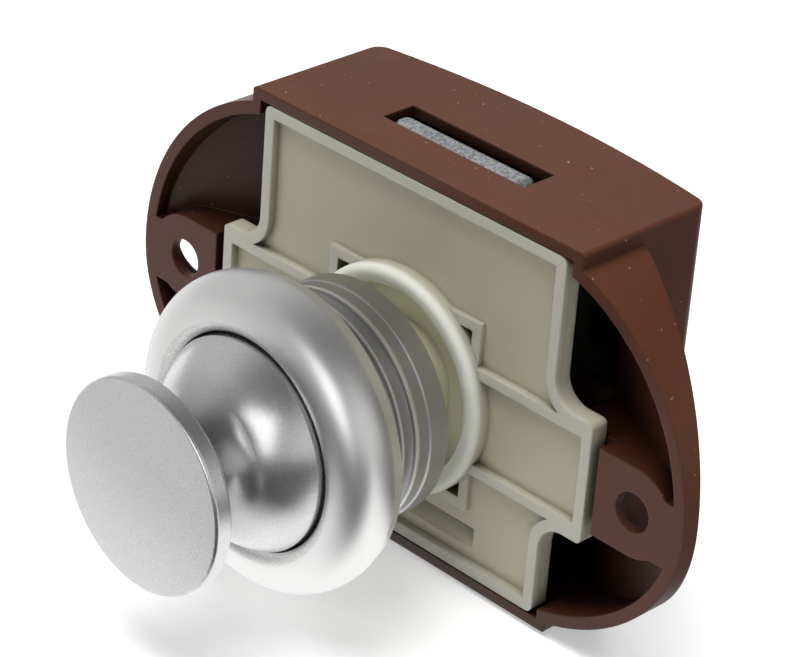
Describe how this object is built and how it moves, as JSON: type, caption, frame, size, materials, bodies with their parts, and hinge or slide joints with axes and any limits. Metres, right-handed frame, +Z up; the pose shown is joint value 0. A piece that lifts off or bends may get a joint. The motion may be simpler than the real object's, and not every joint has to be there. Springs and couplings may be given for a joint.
{
  "type": "pushbutton lock",
  "caption": "Push-button cabinet door lock: a turned knob in a rosette works a bolt in a moulded case with two screw ears.",
  "frame": {"origin": "on the knob's axis, midway between the two screw holes, on the face that lies on the door", "axes": "+X to the right along the row of screw holes, +Y from the door into the case, +Z up towards the bolt"},
  "size_m": [0.0792, 0.0559, 0.0437],
  "materials": {
    "brown_plastic": "moulded, fine satin",
    "ivory_plastic": "moulded, slightly translucent",
    "white_plastic": "moulded",
    "satin_metal": "satin, finely blasted",
    "turned_steel": "turned",
    "zinc_plated_steel": "zinc plated, sheared edge",
    "spring_steel": "drawn wire"
  },
  "bodies": {
    "case": {"housing": "brown_plastic", "cover_plate": "ivory_plastic", "rosette": "satin_metal", "return_spring_left": "spring_steel", "return_spring_right": "spring_steel"},
    "knob_set": {"knob": "satin_metal", "knob_stem": "turned_steel", "stem_clip": "spring_steel", "slider": "white_plastic", "cam_pin_left": "turned_steel", "cam_pin_right": "turned_steel"},
    "bolt_set": {"bolt": "zinc_plated_steel", "bolt_carrier": "white_plastic", "bolt_rivets": "turned_steel"},
    "catch": {"catch_wire": "spring_steel"}
  },
  "joints": [
    {"name": "knob_slide", "type": "slide", "parent": "case", "child": "knob_set", "axis": [0, 1, 0], "range_m": [0, 0.011], "stiffness_N_per_m": 500, "springref_m": -0.008, "deforming": ["return_spring_left", "return_spring_right"]},
    {"name": "bolt_slide", "type": "slide", "parent": "case", "child": "bolt_set", "axis": [0, 0, 1], "range_m": [0, 0.0088]},
    {"name": "catch_swing", "type": "hinge", "parent": "case", "child": "catch", "pos_m": [0.0175, 0.009, 0.0036], "axis": [1, 0, 0], "range_deg": [0, 19]}
  ],
  "couplings": [
    {"joint": "bolt_slide", "follows": "knob_slide", "ratio": 0.8}
  ]
}
